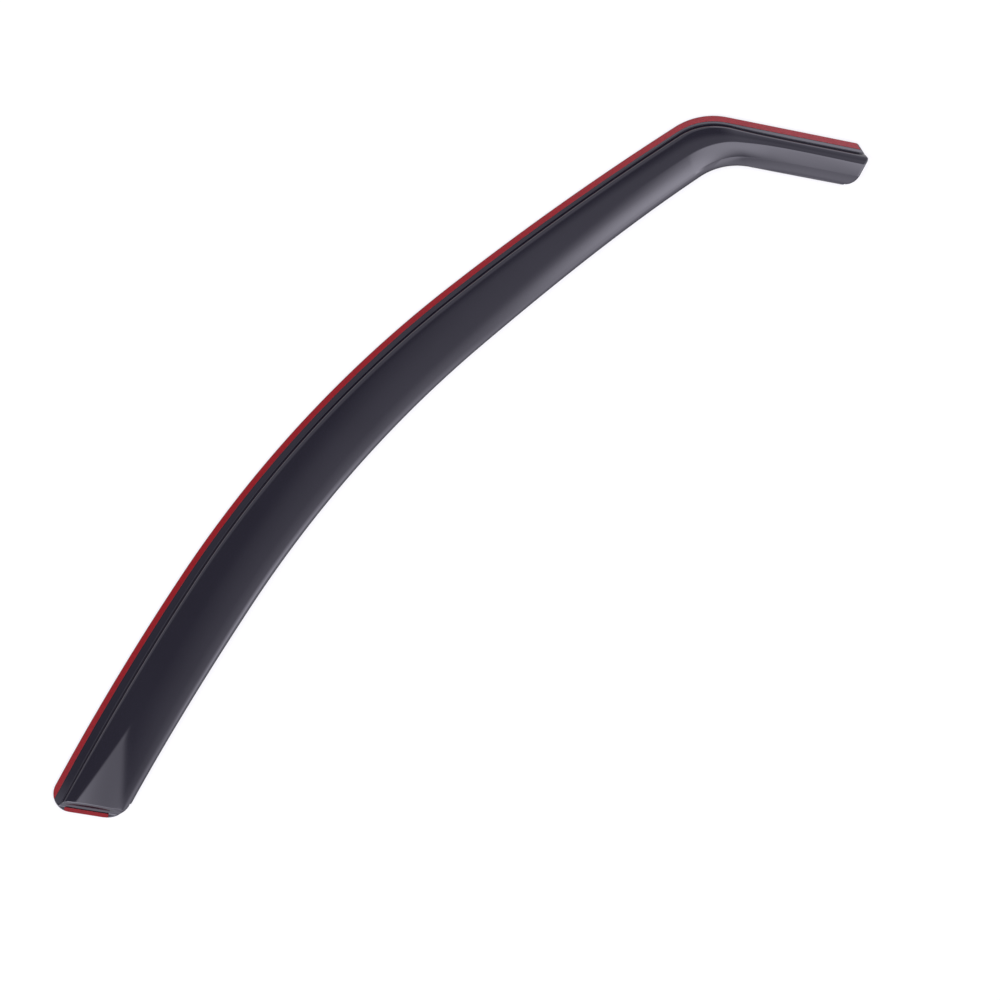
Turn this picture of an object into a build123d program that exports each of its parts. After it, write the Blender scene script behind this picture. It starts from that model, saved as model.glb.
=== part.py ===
# Window rain deflector for a car's front door: one smoked acrylic moulding with two strips of mounting tape.
#
# The flange lies flat on the XY plane with its back at z = 0, and +Z points out of the car. The origin is on
# the back of the flange, in the middle of its width, where the long run starts to turn into the short leg.
# +X follows the outer edge of the run towards the leg, and the free edge lies on the -Y side.

import os
from math import cos, pi, radians, sin, tan

from build123d import *

# Outer edge of the flange: three arcs for the run, walked back from the bend, then the bend and straight leg
near_radius = 2650
near_turn = 5.5
middle_radius = 1095
middle_turn = 18.3
far_radius = 2460
far_turn = 5.7
bend_radius = 64
bend_turn = 44
leg_length = 120

# Section lines cross the band from the outer edge. They lean from square to that edge: forwards at the wide
# end, where they run along the end, and back at the bend, from where they stay parallel to the tip.
end_lean = 18.8
bend_lean = 9.2

# Depth of the band from the outer edge to the free edge, along the section lines
depth_at_end = 71.9
depth_at_far = 67.9
depth_at_near = 60.6
depth_at_bend = 51.1
depth_at_tip = 47

# Flange, along the section lines, and the skin of the body
flange_at_end = 13.2
flange_at_bend = 7.8
flange_at_leg = 10.2
flange_thickness = 2.5
skin = 2.5

# Step wall beside the flange, the rounded shoulder above it and the ridge it turns into at the wide end
wall_slope = 60
wall_rise = 4
wall_rise_at_end = 2.4
shoulder_radius = 7.5
shoulder_radius_at_end = 4
end_ridge_radius = 2

# Arch of the body: its crest, its tilt at the shoulder and its tilt at the crease above the lip
crest_at_end = 38
crest_at_bend = 32
crest_at_leg = 23.7
arch_tilt = 20
arch_tilt_at_end = 13
fall_tilt = 12
fall_tilt_at_leg = 2
taper_length = 125

# Lip along the free edge: rounded into the arch at the wide end, creased off it on the leg
lip_at_end = 5
lip_at_bend = 5.5
lip_at_leg = 10.8
lip_tilt = 28
crease_at_bend = 6
crease_at_leg = 22

# Wide end: flange across the end, and the corners of the outline
end_flange = 6.3
outer_corner_radius = 16.5
free_corner_radius = 25

# Narrow tip: a chamfer off the outer edge, then a cut back to the free edge
tip_turn = 46
tip_chamfer = 17.2
tip_setback = 23.3
tip_corner_radius = 4
tip_free_radius = 13

# Mounting tape on the face of the flange, under its release liner
tape_margin = 0.3
tape_width = 4.8
tape_thickness = 0.8
liner_thickness = 0.15
tape_tip_margin = 1
end_tape_width = 3.6
end_tape_start = 19
end_tape_length = 40

# How far the body's forms run past the outline that trims them
overrun = 4

os.makedirs("parts", exist_ok=True)


def outer_edge(inset, leg_end):
    """The outer edge moved in by a distance: two wires from the bend, back along the run and on to the tip."""
    start = (0, flange_at_bend / 2 - inset)
    near = JernArc(start, (-1, 0), near_radius - inset, near_turn, mode=Mode.PRIVATE)
    middle = JernArc(near @ 1, near % 1, middle_radius - inset, middle_turn, mode=Mode.PRIVATE)
    far = JernArc(middle @ 1, middle % 1, far_radius - inset, far_turn, mode=Mode.PRIVATE)
    bend = JernArc(start, (1, 0), bend_radius - inset, -bend_turn, mode=Mode.PRIVATE)
    leg = Line(bend @ 1, bend @ 1 + (bend % 1) * leg_end, mode=Mode.PRIVATE)
    return Wire([near, middle, far]), Wire([bend, leg])


def smooth(at, knots):
    """A smooth curve through (place, value) knots in rising order of place, level past the last ones."""
    places = [place for place, value in knots]
    values = [value for place, value in knots]
    last = len(knots) - 1
    if at <= places[0]:
        return values[0]
    if at >= places[last]:
        return values[last]
    i = max(k for k in range(last) if places[k] <= at)

    def slope(k):
        before = max(k - 1, 0)
        after = min(k + 1, last)
        return (values[after] - values[before]) / (places[after] - places[before])

    gap = places[i + 1] - places[i]
    t = (at - places[i]) / gap
    leaving = (1 + 2 * t) * (1 - t) ** 2 * values[i] + t * (1 - t) ** 2 * gap * slope(i)
    arriving = t**2 * (3 - 2 * t) * values[i + 1] - t**2 * (1 - t) * gap * slope(i + 1)
    return leaving + arriving


run, turn = outer_edge(0, leg_length)
end_heading = near_turn + middle_turn + far_turn
wall_run = 1 / tan(radians(wall_slope))
wall_shift = skin * (1 - cos(radians(wall_slope))) / sin(radians(wall_slope))

# Places along the outer edge are shares of the run and of the turn: 1 at the wide end, 0 at the bend and -1 at
# the tip. The leg's sizes are reached here.
leg_share = -0.45


def along_band(share, at_leg, at_bend, at_end):
    """A size of the band: nearly even on the leg, then changing over the bend and along the run."""
    return smooth(share, ((-1, at_leg), (leg_share, at_leg), (0, at_bend), (1, at_end)))


class Station:
    """A section line: where it leaves the outer edge, where it points, and the sizes of the band along it."""

    def __init__(self, distance):
        wire = run if distance < 0 else turn
        along = abs(distance) / wire.length
        past = max(along - 1, 0) * wire.length
        share = along if distance < 0 else -along
        line = smooth(share, ((0, -90 - bend_lean), (1, end_heading - 90 + end_lean)))
        depths = ((-1, depth_at_tip), (0, depth_at_bend), (1 / 3, depth_at_near), (2 / 3, depth_at_far))
        taper = min(max(1 - (distance + run.length) / taper_length, 0), 1) ** 2
        self.start = wire @ min(along, 1) + (wire % min(along, 1)) * past
        self.along = Vector(cos(radians(line)), sin(radians(line)))
        self.plane = Plane(self.start, x_dir=self.along, z_dir=self.along.cross(Vector(0, 0, 1)))
        self.depth = smooth(share, depths + ((1, depth_at_end),))
        self.flange = along_band(share, flange_at_leg, flange_at_bend, flange_at_end)
        self.crest = along_band(share, crest_at_leg, crest_at_bend, crest_at_end)
        self.lip = along_band(share, lip_at_leg, lip_at_bend, lip_at_end)
        self.fall_tilt = along_band(share, fall_tilt_at_leg, fall_tilt, fall_tilt)
        self.crease = along_band(share, crease_at_leg, crease_at_bend, 0)
        self.wall_rise = wall_rise + (wall_rise_at_end - wall_rise) * taper
        self.arch_tilt = arch_tilt + (arch_tilt_at_end - arch_tilt) * taper
        self.shoulder_radius = shoulder_radius + (shoulder_radius_at_end - shoulder_radius) * taper
        self.free_point = self.start + self.along * self.depth
        self.shoulder = Vector(self.flange + self.wall_rise * wall_run, flange_thickness + self.wall_rise)


def crown(station, shift, drop):
    """The top line of a section from the foot of the step wall to past the free edge, in the section's plane.

    The inside of the skin is the same line dropped by the skin, with its wall shifted to keep the skin there.
    """
    climb = station.crest - station.shoulder.X
    crest = station.shoulder + Vector(climb, climb * tan(radians(station.arch_tilt / 2)) - drop)
    fall = station.depth - station.lip - station.crest
    crease = crest + Vector(fall, -fall * tan(radians(station.fall_tilt / 2)))
    reach = station.lip + overrun
    rim = crease + Vector(reach, -reach * tan(radians(lip_tilt)))
    lip_start = radians(station.fall_tilt + station.crease)
    foot = Vector(station.flange + shift, flange_thickness - drop)
    top = station.shoulder + Vector(shift, -drop)
    Line(foot, top)
    TangentArc(crest, top, tangent=(-1, 0))
    TangentArc(crest, crease, tangent=(1, 0))
    TangentArc(crease, rim, tangent=(cos(lip_start), -sin(lip_start)))
    return foot, rim


def body_section(station):
    """The solid section under the outer skin, flange and body, down to below the back of the flange."""
    with BuildSketch(station.plane) as section:
        with BuildLine():
            foot, rim = crown(station, 0, 0)
            Polyline(foot, (-overrun, foot.Y), (-overrun, -overrun), (rim.X, -overrun), rim)
        make_face()
        fillet(section.vertices().sort_by_distance(station.shoulder)[0], station.shoulder_radius)
    return section.sketch


def hollow_section(station):
    """The section of the space behind the skin, from below the back of the flange."""
    with BuildSketch(station.plane) as section:
        with BuildLine():
            foot, rim = crown(station, wall_shift, skin)
            Polyline(foot, (foot.X, -overrun), (rim.X, -overrun), rim)
        make_face()
    return section.sketch


# Stations, closer together towards both ends of the run and even round the turn
run_sections = 24
turn_sections = 16
crowding = 0.11
shares = [k / run_sections for k in range(run_sections + 1)]
run_spots = [-run.length * (share - crowding * sin(2 * pi * share)) for share in shares]
turn_spots = [turn.length * k / turn_sections for k in range(1, turn_sections + 2)]
spots = [-run.length - 3 * overrun] + run_spots[::-1] + turn_spots
stations = [Station(spot) for spot in spots]

# Wide end: a plane that stands on the end line, with X into the part and Z along the end
end = Station(-run.length)
end_plane = Plane(end.start, x_dir=(-end.along.Y, end.along.X), z_dir=end.along)
room = 2 * depth_at_end

# Narrow tip: the ends of its chamfer, and the station where its cut meets the free edge
tip_start = turn @ 1
tip_end = tip_start + (turn % 1).rotate(Axis.Z, -tip_turn) * tip_chamfer
tip_spot = turn.length - tip_setback
free_spots = [spot for spot in spots if -run.length < spot < tip_spot - overrun]
free_points = [Station(spot).free_point for spot in (-run.length, *free_spots, tip_spot)]

with BuildSketch() as outline:
    with BuildLine():
        add(run)
        add(turn)
        Polyline(tip_start, tip_end, free_points[-1])
        Spline(*free_points)
        Line(end.free_point, end.start)
    make_face()
    corners = (
        (end.start, outer_corner_radius),
        (end.free_point, free_corner_radius),
        (tip_start, tip_corner_radius),
        (tip_end, tip_corner_radius),
        (free_points[-1], tip_free_radius),
    )
    for corner, radius in corners:
        fillet(outline.vertices().sort_by_distance(corner)[0], radius)

# Space behind the skin, closed by the end wall and open at the tip
with BuildPart() as hollow:
    loft([hollow_section(station) for station in stations])
    with BuildSketch(end_plane):
        with BuildLine():
            foot = Vector(end_flange + wall_shift, flange_thickness - skin)
            top = foot + Vector(room * wall_run, room)
            Polyline(top, foot, (foot.X, -room), (-room, -room), (-room, room), top)
        make_face()
    extrude(amount=room, both=True, mode=Mode.SUBTRACT)

with BuildPart() as visor:
    loft([body_section(station) for station in stations])

    # Step down to the flange across the wide end
    with BuildSketch(end_plane):
        with BuildLine():
            foot = Vector(end_flange, flange_thickness)
            top = foot + Vector(room * wall_run, room)
            Polyline(top, foot, (-room, foot.Y), (-room, top.Y), top)
        make_face()
    extrude(amount=room, both=True, mode=Mode.SUBTRACT)

    # Shoulder carried round the corner and across the end
    wall_middle = end_plane.from_local_coords((end_flange + wall_run, flange_thickness + 1, depth_at_end / 2))
    end_wall = visor.faces().filter_by(GeomType.PLANE).sort_by_distance(wall_middle)[0]
    end_ridge = end_wall.edges().filter_by(lambda edge: (edge @ 0.5).Z > flange_thickness + skin / 10)
    fillet(end_ridge, end_ridge_radius)

    # Outline, up from the back of the flange, and the space behind the skin
    extrude(outline.sketch, amount=room, mode=Mode.INTERSECT)
    add(hollow.part, mode=Mode.SUBTRACT)

# Tapes: a band along the outer edge and a strip across the wide end, both a margin inside the outline
with BuildSketch() as tape_room:
    add(outline.sketch)
    offset(amount=-tape_margin)


def tape_side(inset):
    """A long side of the edge tape, up to a cut that keeps a margin from the tip's chamfer."""
    past_leg = inset / tan(radians(tip_turn)) - tape_tip_margin / sin(radians(tip_turn))
    return outer_edge(inset, leg_length + past_leg)


with BuildSketch() as edge_strip:
    with BuildLine():
        outside = tape_side(-overrun)
        inside = tape_side(tape_margin + tape_width)
        for outside_wire, inside_wire in zip(outside, inside):
            add(outside_wire)
            add(inside_wire)
            Line(outside_wire @ 1, inside_wire @ 1)
    make_face()
    add(tape_room.sketch, mode=Mode.INTERSECT)

with BuildSketch() as end_strip:
    with BuildLine():
        near_corner = end.start + end.along * end_tape_start
        far_corner = near_corner + end.along * end_tape_length
        inset = end_plane.x_dir * (tape_margin + end_tape_width)
        Polyline(near_corner, far_corner, far_corner + inset, near_corner + inset, close=True)
    make_face()
    add(tape_room.sketch, mode=Mode.INTERSECT)

with BuildPart() as edge_tape:
    with BuildSketch(Plane.XY.offset(flange_thickness)):
        add(edge_strip.sketch)
    extrude(amount=tape_thickness)

with BuildPart() as edge_tape_liner:
    with BuildSketch(Plane.XY.offset(flange_thickness + tape_thickness)):
        add(edge_strip.sketch)
    extrude(amount=liner_thickness)

with BuildPart() as end_tape:
    with BuildSketch(Plane.XY.offset(flange_thickness)):
        add(end_strip.sketch)
    extrude(amount=tape_thickness)

with BuildPart() as end_tape_liner:
    with BuildSketch(Plane.XY.offset(flange_thickness + tape_thickness)):
        add(end_strip.sketch)
    extrude(amount=liner_thickness)

visor.part.label = "visor"
edge_tape.part.label = "edge_tape"
edge_tape_liner.part.label = "edge_tape_liner"
end_tape.part.label = "end_tape"
end_tape_liner.part.label = "end_tape_liner"

export_step(visor.part, "parts/visor.step")
export_step(edge_tape.part, "parts/edge_tape.step")
export_step(edge_tape_liner.part, "parts/edge_tape_liner.step")
export_step(end_tape.part, "parts/end_tape.step")
export_step(end_tape_liner.part, "parts/end_tape_liner.step")
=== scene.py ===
from math import cos, pi, radians, sin, tan
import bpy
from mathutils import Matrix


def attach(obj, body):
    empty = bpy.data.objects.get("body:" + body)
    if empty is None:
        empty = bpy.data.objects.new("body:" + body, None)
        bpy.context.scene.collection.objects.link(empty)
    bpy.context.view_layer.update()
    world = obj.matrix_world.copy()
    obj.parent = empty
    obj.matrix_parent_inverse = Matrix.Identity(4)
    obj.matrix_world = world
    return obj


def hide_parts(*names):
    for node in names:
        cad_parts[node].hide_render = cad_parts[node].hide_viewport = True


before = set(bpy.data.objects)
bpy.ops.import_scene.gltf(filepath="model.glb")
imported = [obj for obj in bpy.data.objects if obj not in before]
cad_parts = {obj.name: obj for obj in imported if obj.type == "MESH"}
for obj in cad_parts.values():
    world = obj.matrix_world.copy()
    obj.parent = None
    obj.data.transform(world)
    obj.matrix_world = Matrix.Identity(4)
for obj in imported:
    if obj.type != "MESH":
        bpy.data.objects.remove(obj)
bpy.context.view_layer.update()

from types import SimpleNamespace

import bpy
import numpy as np

mm = 0.001

# Outer edge of the visor: arcs of the run, back from the bend, then the bend and the straight leg
near_radius = 2650 * mm
near_turn = radians(5.5)
middle_radius = 1095 * mm
middle_turn = radians(18.3)
far_radius = 2460 * mm
far_turn = radians(5.7)
bend_radius = 64 * mm
bend_turn = radians(44)
leg_length = 120 * mm

# Lean of the section lines from square to the outer edge
end_lean = radians(18.8)
bend_lean = radians(9.2)

# Depth of the band along the section lines
depth_at_end = 71.9 * mm
depth_at_far = 67.9 * mm
depth_at_near = 60.6 * mm
depth_at_bend = 51.1 * mm
depth_at_tip = 47 * mm

# Flange, skin and step wall
flange_at_end = 13.2 * mm
flange_at_bend = 7.8 * mm
flange_at_leg = 10.2 * mm
flange_thickness = 2.5 * mm
skin = 2.5 * mm
wall_slope = radians(60)
wall_rise = 4 * mm
wall_rise_at_end = 2.4 * mm

# Roundings of the step: the heights over which two faces blend, and the height over which the end's foot
# takes over from the side's
shoulder_blend = 2.55 * mm
shoulder_blend_at_end = 1.85 * mm
end_ridge_blend = 1.8 * mm
foot_blend = 1.9 * mm
end_foot_blend = 4.4 * mm
foot_change = 2 * mm

# Arch and lip of the body
crest_at_end = 38 * mm
crest_at_bend = 32 * mm
crest_at_leg = 23.7 * mm
arch_tilt = radians(20)
arch_tilt_at_end = radians(13)
fall_tilt = radians(12)
fall_tilt_at_leg = radians(2)
taper_length = 125 * mm
lip_at_end = 5 * mm
lip_at_bend = 5.5 * mm
lip_at_leg = 10.8 * mm
lip_tilt = radians(28)
lip_overrun = 4 * mm
crease_at_bend = radians(6)
crease_at_leg = radians(22)

# Ends of the outline, and its corners
end_flange = 6.3 * mm
outer_corner_radius = 16.5 * mm
free_corner_radius = 25 * mm
tip_turn = radians(46)
tip_chamfer = 17.2 * mm
tip_setback = 23.3 * mm
tip_corner_radius = 4 * mm
tip_free_radius = 13 * mm

# Rim: nearly sharp under the tape and rounder along the free edge. At the ends it changes over a stretch that
# starts this far from the free edge at the wide end, and this far from the outer edge at the tip
rim_at_flange = 0.4 * mm
rim_at_free_edge = 1.1 * mm
rim_steps = 4
wide_rim_change = 22 * mm
wide_rim_stretch = 20 * mm
tip_rim_change = 10 * mm
tip_rim_stretch = 10 * mm

run_arcs = ((near_radius, near_turn), (middle_radius, middle_turn), (far_radius, far_turn))
turn_arcs = ((bend_radius, -bend_turn),)
run_length = sum(radius * turn for radius, turn in run_arcs)
turn_length = bend_radius * bend_turn + leg_length
end_heading = near_turn + middle_turn + far_turn
wall_run = 1 / tan(wall_slope)

# Shares along the band are -1 at the tip, 0 at the bend and 1 at the wide end, and the leg is even up to here
leg_share = -0.45


def smooth(at, knots):
    """A smooth curve through (place, value) knots in rising order of place, level past the last ones."""
    places, values = np.array(knots, float).T
    before = np.maximum(np.arange(len(places)) - 1, 0)
    after = np.minimum(np.arange(len(places)) + 1, len(places) - 1)
    slopes = (values[after] - values[before]) / (places[after] - places[before])
    spot = np.clip(at, places[0], places[-1])
    i = np.clip(np.searchsorted(places, spot, side="right") - 1, 0, len(places) - 2)
    gap = places[i + 1] - places[i]
    t = (spot - places[i]) / gap
    leaving = (1 + 2 * t) * (1 - t) ** 2 * values[i] + t * (1 - t) ** 2 * gap * slopes[i]
    arriving = t**2 * (3 - 2 * t) * values[i + 1] - t**2 * (1 - t) * gap * slopes[i + 1]
    return leaving + arriving


def along_band(share, at_leg, at_bend, at_end):
    """A size of the band: even on most of the leg, then changing over the bend and along the run."""
    return smooth(share, ((-1, at_leg), (leg_share, at_leg), (0, at_bend), (1, at_end)))


def ease(t):
    """A soft step from 0 to 1."""
    t = np.clip(t, 0, 1)
    return t * t * (3 - 2 * t)


def lower(a, b, blend):
    """The lower of two heights, with the ridge between them rounded."""
    return np.minimum(a, b) - np.maximum(blend - np.abs(a - b), 0) ** 2 / (4 * blend)


def upper(a, b, blend):
    """The upper of two heights, with the valley between them rounded."""
    return np.maximum(a, b) + np.maximum(blend - np.abs(a - b), 0) ** 2 / (4 * blend)


def walk(distance, heading, arcs):
    """Places and headings at distances along a chain of (radius, turn) arcs that starts at the bend."""
    x = np.zeros_like(distance)
    y = np.full_like(distance, flange_at_bend / 2)
    heading = np.full_like(distance, heading)
    for radius, turn in arcs:
        part = np.clip(distance, 0, radius * abs(turn))
        side = np.sign(turn) * radius
        turned = heading + part / side
        x = x + side * (np.sin(turned) - np.sin(heading))
        y = y + side * (np.cos(heading) - np.cos(turned))
        heading = turned
        distance = distance - part
    return x + distance * np.cos(heading), y + distance * np.sin(heading), heading


def station(s):
    """Section lines at places s along the outer edge: where they start, how they point, and their sizes."""
    run_x, run_y, run_heading = walk(-s, pi, run_arcs)
    turn_x, turn_y, turn_heading = walk(s, 0, turn_arcs)
    share = np.where(s < 0, -s / run_length, -s / turn_length)
    taper = np.clip(1 - (s + run_length) / taper_length, 0, 1) ** 2
    angles = ((0, -pi / 2 - bend_lean), (1, end_heading - pi / 2 + end_lean))
    depths = (
        (-1, depth_at_tip),
        (0, depth_at_bend),
        (1 / 3, depth_at_near),
        (2 / 3, depth_at_far),
        (1, depth_at_end),
    )
    line = SimpleNamespace()
    line.start = np.stack([np.where(s < 0, run_x, turn_x), np.where(s < 0, run_y, turn_y)], -1)
    line.heading = np.where(s < 0, run_heading - pi, turn_heading)
    line.angle = smooth(share, angles)
    line.along = np.stack([np.cos(line.angle), np.sin(line.angle)], -1)
    line.depth = smooth(share, depths)
    line.flange = along_band(share, flange_at_leg, flange_at_bend, flange_at_end)
    line.crest = along_band(share, crest_at_leg, crest_at_bend, crest_at_end)
    line.lip = along_band(share, lip_at_leg, lip_at_bend, lip_at_end)
    line.fall_tilt = along_band(share, fall_tilt_at_leg, fall_tilt, fall_tilt)
    line.crease = along_band(share, crease_at_leg, crease_at_bend, 0)
    line.wall_rise = wall_rise + (wall_rise_at_end - wall_rise) * taper
    line.arch_tilt = arch_tilt + (arch_tilt_at_end - arch_tilt) * taper
    line.shoulder_blend = shoulder_blend + (shoulder_blend_at_end - shoulder_blend) * taper
    line.shoulder = line.flange + line.wall_rise * wall_run
    return line


def plan(line, n):
    """Points of the plan at n across the section lines."""
    return line.start + line.along * n[..., None]


def crown(line, n):
    """Heights of the outer face across the section lines: step wall, climb, fall and lip."""
    shoulder_height = flange_thickness + line.wall_rise
    climb = line.crest - line.shoulder
    rise = climb * np.tan(line.arch_tilt / 2)
    climb_radius = (climb**2 + rise**2) / (2 * rise)
    crest_height = shoulder_height + rise
    fall = line.depth - line.lip - line.crest
    drop = fall * np.tan(line.fall_tilt / 2)
    fall_radius = (fall**2 + drop**2) / (2 * drop)
    lip_start = line.fall_tilt + line.crease
    lip_radius = (line.lip + lip_overrun) / cos(lip_tilt) / (2 * np.sin(lip_tilt - lip_start))
    lip_centre = line.depth - line.lip - lip_radius * np.sin(lip_start)
    lip_height = crest_height - drop - lip_radius * np.cos(lip_start)

    def arc(radius, across):
        return np.sqrt(np.maximum(radius**2 - across**2, 0))

    ramp = shoulder_height + (n - line.shoulder) * np.tan(line.arch_tilt)
    climbing = crest_height - climb_radius + arc(climb_radius, line.crest - n)
    falling = crest_height - fall_radius + arc(fall_radius, n - line.crest)
    lipping = lip_height + arc(lip_radius, n - lip_centre)
    zones = [n < line.shoulder, n < line.crest, n < line.depth - line.lip]
    arch = np.select(zones, [ramp, climbing, falling], lipping)
    wall = flange_thickness + (n - line.flange) / wall_run
    return lower(wall, arch, line.shoulder_blend)


# The wide end's section line, and the way from it into the visor
end_line = station(np.array(-run_length))
end_inward = np.array([-end_line.along[1], end_line.along[0]])


def face(s, n):
    """Points of the outer face at s along the outer edge and n across the section lines."""
    line = station(s)
    spot = plan(line, n)
    end_wall = flange_thickness + ((spot - end_line.start) @ end_inward - end_flange) / wall_run
    side = crown(line, n)
    end_share = ease((side - end_wall) / foot_change + 0.5)
    valley = foot_blend + (end_foot_blend - foot_blend) * end_share
    height = upper(lower(side, end_wall, end_ridge_blend), flange_thickness, valley)
    return np.concatenate([spot, height[..., None]], -1)


def face_normal(s, n):
    """Directions square to the outer face, pointing out of it."""
    step = 0.02 * mm
    across = face(s, n + step) - face(s, n - step)
    onward = face(s + step, n) - face(s - step, n)
    square = np.cross(across, onward)
    return square / np.linalg.norm(square, axis=-1, keepdims=True)


def free_point(s):
    """Points of the free edge, in plan."""
    line = station(s)
    return plan(line, line.depth)


def free_tangent(s):
    """Directions along the free edge, in plan."""
    step = 0.5 * mm
    tangent = free_point(s + step) - free_point(s - step)
    return tangent / np.linalg.norm(tangent, axis=-1, keepdims=True)


class Side:
    """A straight side of the outline near an end: a point on it and the direction into the visor."""

    def __init__(self, point, inward):
        self.point = point
        self.inward = inward

    def inside(self, spot):
        return (spot - self.point) @ self.inward


class Corner:
    """A rounded corner between two sides of the outline."""

    def __init__(self, first, second, radius):
        sides = np.array([first.inward, second.inward])
        reach = [first.inward @ first.point + radius, second.inward @ second.point + radius]
        self.centre = np.linalg.solve(sides, reach)
        self.radius = radius
        self.ways = []
        for side, other in ((first, second), (second, first)):
            way = np.array([-side.inward[1], side.inward[0]])
            self.ways.append(-way * np.sign(way @ other.inward))

    def inside(self, spot, otherwise):
        """How far inside the outline a spot is, by this corner's arc where the arc is the outline."""
        offset = spot - self.centre
        round_part = (offset @ self.ways[0] > 0) & (offset @ self.ways[1] > 0)
        return np.where(round_part, self.radius - np.linalg.norm(offset, axis=-1), otherwise)


def outer_side(s):
    line = station(np.array(s))
    return Side(line.start, np.array([sin(line.heading), -cos(line.heading)]))


def free_side(s):
    tangent = free_tangent(np.array(s))
    return Side(free_point(np.array(s)), np.array([-tangent[1], tangent[0]]))


def cut_side(first, second):
    """The side from one corner of the tip to the next, with the visor on its right."""
    way = (second - first) / np.linalg.norm(second - first)
    return Side(first, np.array([way[1], -way[0]]))


# Sides and corners of the outline at the wide end and at the tip
wide_side = Side(end_line.start, end_inward)
wide_corners = (
    Corner(outer_side(-run_length + outer_corner_radius), wide_side, outer_corner_radius),
    Corner(free_side(-run_length + free_corner_radius), wide_side, free_corner_radius),
)
tip_line = station(np.array(turn_length))
tip_heading = tip_line.heading - tip_turn
tip_start = tip_line.start
tip_end = tip_start + tip_chamfer * np.array([np.cos(tip_heading), np.sin(tip_heading)])
tip_spot = turn_length - tip_setback
chamfer_side = cut_side(tip_start, tip_end)
tip_side = cut_side(tip_end, free_point(np.array(tip_spot)))
tip_corners = (
    Corner(outer_side(turn_length), chamfer_side, tip_corner_radius),
    Corner(chamfer_side, tip_side, tip_corner_radius),
    Corner(tip_side, free_side(tip_spot), tip_free_radius),
)


def inside_wide_end(spot):
    """How far inside the wide end a spot is."""
    inside = wide_side.inside(spot)
    for corner in wide_corners:
        inside = corner.inside(spot, inside)
    return inside


def inside_tip(spot):
    """How far inside the tip a spot is."""
    inside = np.minimum(chamfer_side.inside(spot), tip_side.inside(spot))
    for corner in tip_corners:
        inside = corner.inside(spot, inside)
    return inside


# Columns of the mesh across the band, in stretches: how many each has, and where in it they crowd
foot_room = 1.6 * mm
shoulder_room = 3 * mm
flange_stretch = (9, lambda t: 1 - np.cos(t * pi / 2))
step_stretch = (22, lambda t: t)
climb_stretch = (9, lambda t: t)
fall_stretch = (11, lambda t: np.sin(t * pi / 2))
lip_stretch = (11, lambda t: (1 - np.cos(t * pi)) / 2)
stretches = (flange_stretch, step_stretch, climb_stretch, fall_stretch, lip_stretch)
stretch_numbers = [np.full(count, k) for k, (count, crowd) in enumerate(stretches)]
column_stretch = np.concatenate(stretch_numbers + [[len(stretches) - 1]])
column_share = np.concatenate([crowd(np.arange(count) / count) for count, crowd in stretches] + [[1]])

# Rows of the mesh: the lengths over which they fan out to meet the slanting ends, how far past and within the
# ends their rim is looked for, and how finely
wide_fan = 90 * mm
tip_fan = 110 * mm
past_wide_end = 5 * mm
past_tip = 40 * mm
within_ends = 60 * mm
halvings = 40
row_samples = 4000


def columns(s):
    """Places across the band of the mesh's columns, for an array of s that ends in one s for each column."""
    line = station(s)
    outer_lean = np.cos(line.angle - line.heading + pi / 2)
    tangent = free_tangent(s)
    free_lean = tangent[..., 0] * line.along[..., 1] - tangent[..., 1] * line.along[..., 0]
    marks = np.stack(
        [
            rim_at_flange / outer_lean,
            line.flange - foot_room,
            line.shoulder + shoulder_room,
            line.crest,
            line.depth - line.lip,
            line.depth - rim_at_free_edge * (1 - sin(lip_tilt)) / np.abs(free_lean),
        ],
        -1,
    )
    stretch = np.broadcast_to(column_stretch, s.shape)[..., None]
    low = np.take_along_axis(marks, stretch, -1)[..., 0]
    high = np.take_along_axis(marks, stretch + 1, -1)[..., 0]
    return low + (high - low) * column_share


def rim(s, n):
    """Radius of the rim at an end of the band."""
    line = station(s)
    at_wide_end = ease((n - line.depth + wide_rim_change) / wide_rim_stretch)
    at_tip = ease((n - tip_rim_change) / tip_rim_stretch)
    share = np.where(s < 0, at_wide_end, at_tip)
    return rim_at_flange + (rim_at_free_edge - rim_at_flange) * share


def reach(outside, inside, inside_end):
    """Where each column meets the rim at an end of the band, between two places along it."""
    outside = np.full(len(column_share), outside)
    inside = np.full(len(column_share), inside)
    for halving in range(halvings):
        s = (outside + inside) / 2
        n = columns(s)
        kept = inside_end(plan(station(s), n)) > rim(s, n)
        inside = np.where(kept, s, inside)
        outside = np.where(kept, outside, s)
    return inside


def row_places(first, last):
    """Places of the mesh's rows along the outer edge, close together where the form turns sharply."""
    # Each knot is a place along the outer edge and the gap between rows there
    knots = (
        (first, 0.45 * mm),
        (first + 18 * mm, 0.5 * mm),
        (first + 70 * mm, 2.4 * mm),
        (-150 * mm, 2.8 * mm),
        (-40 * mm, 1.4 * mm),
        (70 * mm, 1.4 * mm),
        (last - 40 * mm, 1.5 * mm),
        (last - 20 * mm, 0.8 * mm),
        (last, 0.7 * mm),
    )
    spots = np.linspace(first, last, row_samples)
    places, gaps = np.array(knots).T
    count = np.cumsum(1 / np.interp(spots, places, gaps)) * (spots[1] - spots[0])
    count = count - count[0]
    return np.interp(np.linspace(0, count[-1], int(count[-1])), count, spots)


def ring_faces(first, second):
    """Faces between two closed rings of vertices."""
    return np.stack([first, second, np.roll(second, -1), np.roll(first, -1)], -1)


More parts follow.
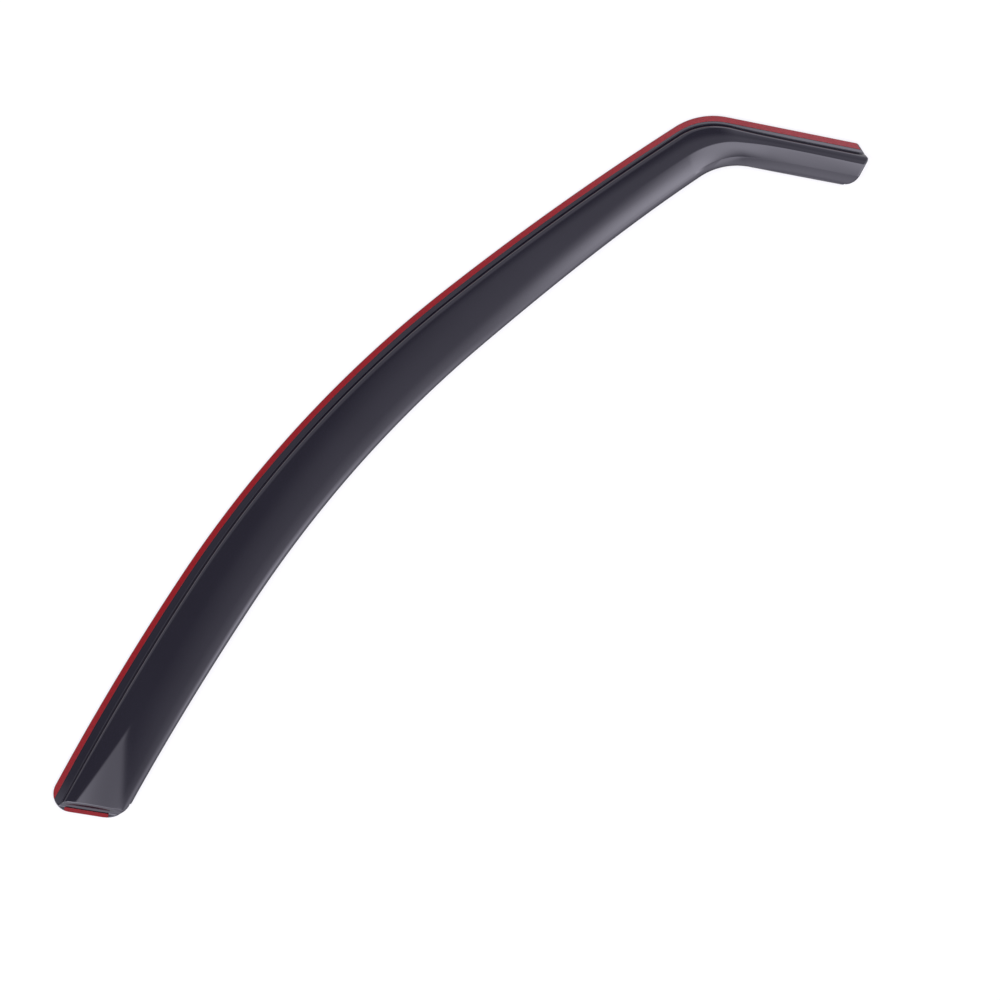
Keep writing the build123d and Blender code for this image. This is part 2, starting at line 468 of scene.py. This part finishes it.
def make_visor():
    """The moulding as one smooth closed shell: outer face, rounded rim and inner face.

    It is built by formula, because its gloss shows every unevenness of a face shaped by hand.
    """
    wide_reach = reach(-run_length - past_wide_end, -run_length + within_ends, inside_wide_end)
    tip_reach = reach(turn_length + past_tip, turn_length - within_ends, inside_tip)
    first = wide_reach.min()
    last = tip_reach.max()
    places = row_places(first, last)[:, None]
    wide_share = np.clip(1 - (places - first) / wide_fan, 0, 1)
    tip_share = np.clip(1 - (last - places) / tip_fan, 0, 1)
    s = places + wide_share * (wide_reach - first) + tip_share * (tip_reach - last)
    n = columns(s)
    rows, across = s.shape
    outer = face(s, n).reshape(-1, 3)
    normal = face_normal(s, n).reshape(-1, 3)
    inner = outer - normal * skin
    index = np.arange(rows * across).reshape(rows, across)

    # The ring of vertices along the rim, the way it runs and the way out of it
    ring = np.concatenate([index[0, :-1], index[:-1, -1], index[-1, :0:-1], index[:0:-1, 0]])
    radius = rim(s, n)
    radius[:, 0] = rim_at_flange
    radius[:, -1] = rim_at_free_edge
    radius = radius.reshape(-1, 1)[ring]
    back = outer[ring] - np.roll(outer[ring], 1, 0)
    ahead = np.roll(outer[ring], -1, 0) - outer[ring]
    back_length = np.linalg.norm(back, axis=1, keepdims=True)
    ahead_length = np.linalg.norm(ahead, axis=1, keepdims=True)
    way = back * ahead_length / back_length + ahead * back_length / ahead_length
    out = np.cross(way, normal[ring])
    out = out / np.linalg.norm(out, axis=1, keepdims=True)

    # Rings round the rim, from the outer face to the inner one
    turns = np.arange(1, rim_steps + 1) * pi / 2 / rim_steps
    sunk = [(radius * sin(turn), radius * (1 - cos(turn))) for turn in turns]
    halfway = (radius, np.full_like(radius, skin / 2))
    steps = sunk + [halfway] + [(outward, skin - down) for outward, down in sunk[::-1]]
    rings = [outer[ring] + out * outward - normal[ring] * down for outward, down in steps]
    ring_indices = [ring]
    for k in range(len(rings)):
        ring_indices.append(2 * index.size + k * len(ring) + np.arange(len(ring)))
    ring_indices.append(ring + index.size)

    quads = np.stack([index[:-1, :-1], index[:-1, 1:], index[1:, 1:], index[1:, :-1]], -1).reshape(-1, 4)
    faces = [quads, quads[:, ::-1] + index.size]
    faces += [ring_faces(a, b) for a, b in zip(ring_indices, ring_indices[1:])]
    points = np.concatenate([outer, inner, *rings])
    mesh = bpy.data.meshes.new("visor_shell")
    mesh.from_pydata(points.tolist(), [], np.concatenate(faces).tolist())
    mesh.shade_smooth()
    shell = bpy.data.objects.new("visor_shell", mesh)
    bpy.context.scene.collection.objects.link(shell)
    return shell


class Shade:
    """A shader value: Python's operators on it add Math nodes to its recipe."""

    def __init__(self, recipe, socket):
        self.recipe = recipe
        self.socket = socket

    def math(self, operation, *values):
        return self.recipe.node("ShaderNodeMath", {"operation": operation}, dict(enumerate(values)))

    def __add__(self, other):
        return self.math("ADD", self, other)

    def __sub__(self, other):
        return self.math("SUBTRACT", self, other)

    def __rsub__(self, other):
        return self.math("SUBTRACT", other, self)

    def __mul__(self, other):
        return self.math("MULTIPLY", self, other)

    def __neg__(self):
        return self * -1

    __radd__ = __add__
    __rmul__ = __mul__

    def larger(self, other):
        return self.math("MAXIMUM", self, other)

    def degrees_from(self, base):
        """The angle whose tangent is this value over the base."""
        return self.math("DEGREES", self.math("ARCTAN2", self, base))

    def line(self, low, high, kind="LINEAR"):
        """A straight step from 0 to 1 between two values."""
        sockets = {"Value": self, "From Min": low, "From Max": high}
        return self.recipe.node("ShaderNodeMapRange", {"interpolation_type": kind}, sockets)

    def step(self, low, high):
        """A soft step from 0 to 1 between two values."""
        return self.line(low, high, "SMOOTHSTEP")


class Recipe:
    """The nodes of a material or of the world."""

    def __init__(self, owner):
        owner.use_nodes = True
        self.tree = owner.node_tree
        self.tree.nodes.clear()

    def node(self, kind, settings=None, sockets=None, output=0):
        """Adds a node, with its settings first and then its sockets, and gives one of its outputs."""
        node = self.tree.nodes.new(kind)
        for name, value in (settings or {}).items():
            setattr(node, name, value)
        for name, value in (sockets or {}).items():
            if isinstance(value, Shade):
                self.tree.links.new(value.socket, node.inputs[name])
            else:
                node.inputs[name].default_value = value
        return Shade(self, node.outputs[output]) if node.outputs else None

    def coordinates(self, kind):
        return self.node("ShaderNodeTexCoord", output=kind)

    def ray(self, kind):
        return self.node("ShaderNodeLightPath", output=kind)

    def noise(self, spot, scale, detail, roughness=0.5):
        sockets = {"Vector": spot, "Scale": scale, "Detail": detail, "Roughness": roughness}
        return self.node("ShaderNodeTexNoise", {}, sockets)

    def mix(self, share, first, second):
        """A mix of two colours, by the numbers of the node's colour sockets."""
        return self.node("ShaderNodeMix", {"data_type": "RGBA"}, {0: share, 6: first, 7: second}, 2)

    def bump(self, height, strength, distance):
        sockets = {"Height": height, "Strength": strength, "Distance": distance}
        return self.node("ShaderNodeBump", {}, sockets)

    def principled(self, sockets):
        """Ends a material with a Principled shader."""
        shader = self.node("ShaderNodeBsdfPrincipled", {}, sockets)
        self.node("ShaderNodeOutputMaterial", {}, {"Surface": shader})


def colour(red, green, blue):
    return (red, green, blue, 1)


def grey(level):
    return colour(level, level, level)


def smoked_acrylic():
    """Dark smoked acrylic with a violet cast, high gloss and a faint moulded waviness."""
    material = bpy.data.materials.new("smoked_acrylic_gloss")
    recipe = Recipe(material)
    spot = recipe.coordinates("Object")
    cloud = recipe.noise(spot, scale=14, detail=3)
    haze = recipe.noise(spot, scale=700, detail=4, roughness=0.65)
    waves = recipe.noise(spot, scale=9, detail=1)
    deep_smoke = colour(0.0074, 0.0066, 0.0125)
    pale_smoke = colour(0.0088, 0.0080, 0.0142)
    recipe.principled(
        {
            "Base Color": recipe.mix(cloud.step(0.3, 0.7), deep_smoke, pale_smoke),
            "Roughness": 0.025 + 0.02 * cloud + 0.03 * haze,
            "IOR": 1.49,
            "Specular IOR Level": 1.0,
            "Normal": recipe.bump(waves, strength=0.15, distance=0.4 * mm),
        }
    )
    return material


def red_liner():
    """Mottled red release film with a fine grain."""
    material = bpy.data.materials.new("red_liner_film")
    recipe = Recipe(material)
    spot = recipe.coordinates("Object")
    mottle = recipe.noise(spot, scale=420, detail=4, roughness=0.6)
    grain = recipe.noise(spot, scale=2400, detail=2)
    bright_red = colour(0.232, 0.0032, 0.0064)
    deep_red = colour(0.192, 0.0026, 0.0052)
    recipe.principled(
        {
            "Base Color": recipe.mix(mottle.step(0.3, 0.7), bright_red, deep_red),
            "Roughness": 0.12 + 0.1 * mottle,
            "Specular IOR Level": 0.5,
            "Normal": recipe.bump(grain, strength=0.3, distance=0.05 * mm),
        }
    )
    return material


def foam_tape():
    """Dull dark grey foam with small cells."""
    material = bpy.data.materials.new("foam_tape_grey")
    recipe = Recipe(material)
    spot = recipe.coordinates("Object")
    cells = recipe.node("ShaderNodeTexVoronoi", {}, {"Vector": spot, "Scale": 3200})
    cell_grey = colour(0.03, 0.03, 0.033)
    wall_grey = colour(0.07, 0.07, 0.075)
    recipe.principled(
        {
            "Base Color": recipe.mix(cells.step(0.1, 0.7), cell_grey, wall_grey),
            "Roughness": 0.75 + 0.2 * cells,
            "Normal": recipe.bump(cells, strength=0.6, distance=0.1 * mm),
        }
    )
    return material


def white_floor():
    """White paper that the camera and reflections see as white, with the visor's shadow on it."""
    material = bpy.data.materials.new("white_floor")
    recipe = Recipe(material)
    seen = recipe.ray("Is Camera Ray").larger(recipe.ray("Is Glossy Ray"))
    seen = seen.larger(recipe.ray("Is Transmission Ray"))
    paper = recipe.node("ShaderNodeBsdfDiffuse", {}, {"Color": grey(0.85)})
    faint = recipe.node("ShaderNodeBsdfDiffuse", {}, {"Color": grey(0.3)})
    glow = recipe.node("ShaderNodeEmission", {}, {"Color": grey(0.68)})
    white = recipe.node("ShaderNodeAddShader", {}, {0: faint, 1: glow})
    shader = recipe.node("ShaderNodeMixShader", {}, {0: seen, 1: paper, 2: white})
    recipe.node("ShaderNodeOutputMaterial", {}, {"Surface": shader})
    return material


# Picture: straight down, turned so that the band runs from lower left to upper right
picture_turn = radians(-32.61)
picture_right = (cos(picture_turn), sin(picture_turn), 0)
picture_up = (-sin(picture_turn), cos(picture_turn), 0)
picture_width = 901.5 * mm
picture_centre = (-313.7 * mm, -194.25 * mm)
camera_height = 2200 * mm
sensor_width = 36
floor_size = 12


def studio_light():
    """Soft light by direction: a dim ceiling, a brighter horizon, a broad light and a smaller one."""
    world = bpy.data.worlds.new("studio")
    bpy.context.scene.world = world
    recipe = Recipe(world)
    seen = recipe.ray("Is Camera Ray")
    way = recipe.coordinates("Generated")

    def part(axis):
        return recipe.node("ShaderNodeVectorMath", {"operation": "DOT_PRODUCT"}, {0: way, 1: axis}, "Value")

    # Degrees from straight up, to the right and to the top of the picture
    up = part((0, 0, 1))
    x = part(picture_right).degrees_from(up)
    y = part(picture_up).degrees_from(up)

    # Ceiling: dim to the left, brighter to the right, dark towards the top of the picture
    rightward = (x + 0.6 * y).step(-14, 5.5)
    topward = y.step(22, 36)
    ceiling = (0.33 + 0.62 * rightward) * (1 - 0.66 * topward)

    # Horizon: bright to the right and below but not between them, with a fainter band to the upper left
    right_glow = 2.9 * x.line(8, 42)
    lower_glow = 2.45 * (-y).line(27, 55)
    lower_right = (x - y).step(55, 95)
    upper_left_glow = 0.9 * (0.8 * y - 0.6 * x).step(38.5, 43.5)
    horizon = (right_glow + lower_glow) * (1 - lower_right) + upper_left_glow

    # Broad light to the right, soft along its left edge and stronger towards the lower right
    left_edge = (x + 0.4 * y).step(4, 12.2) * (x + y).step(-2, 7)
    top_edge = 1 - y.step(11.3, 13)
    right_edge = 1 - x.step(31, 36)
    broad_light = left_edge * top_edge * right_edge * (3.7 + 2.4 * (x - y).line(7, 76))

    # Smaller light to the lower left, sharp along its upper edges and stronger away from them
    nearness = 0.8 * x + y
    strength = 1.6 * (1 - nearness.step(-15.7, -14.6)) + 4 * (1 - nearness.step(-35, -17))
    small_light = strength * (1 - y.step(-5, -3.3)) * y.step(-45, -31)

    # Half strength, since the acrylic's gloss is set to twice the usual level
    level = 0.5 * (ceiling + horizon + broad_light + small_light)
    sockets = {
        "Color": recipe.mix(seen, colour(1, 0.97, 1.12), grey(1)),
        "Strength": seen + (1 - seen) * level,
    }
    shader = recipe.node("ShaderNodeBackground", {}, sockets)
    recipe.node("ShaderNodeOutputWorld", {}, {"Surface": shader})


def make_floor():
    bpy.ops.object.select_all(action="DESELECT")
    bpy.ops.mesh.primitive_plane_add(size=floor_size, location=(0, 0, 0))
    floor = bpy.context.object
    floor.name = "floor"
    floor.data.materials.append(white_floor())


def make_camera():
    camera = bpy.data.cameras.new("camera")
    camera.sensor_width = sensor_width
    camera.lens = sensor_width * camera_height / picture_width
    holder = bpy.data.objects.new("camera", camera)
    holder.location = (*picture_centre, camera_height)
    holder.rotation_euler = (0, 0, picture_turn)
    bpy.context.scene.collection.objects.link(holder)
    bpy.context.scene.camera = holder


visor = make_visor()
visor.data.materials.append(smoked_acrylic())
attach(visor, "root")
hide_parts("visor")

foam = foam_tape()
film = red_liner()
for node, material in (
    ("edge_tape", foam),
    ("end_tape", foam),
    ("edge_tape_liner", film),
    ("end_tape_liner", film),
):
    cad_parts[node].data.materials.clear()
    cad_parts[node].data.materials.append(material)

make_floor()
studio_light()
make_camera()
bpy.context.scene.view_settings.view_transform = "Standard"
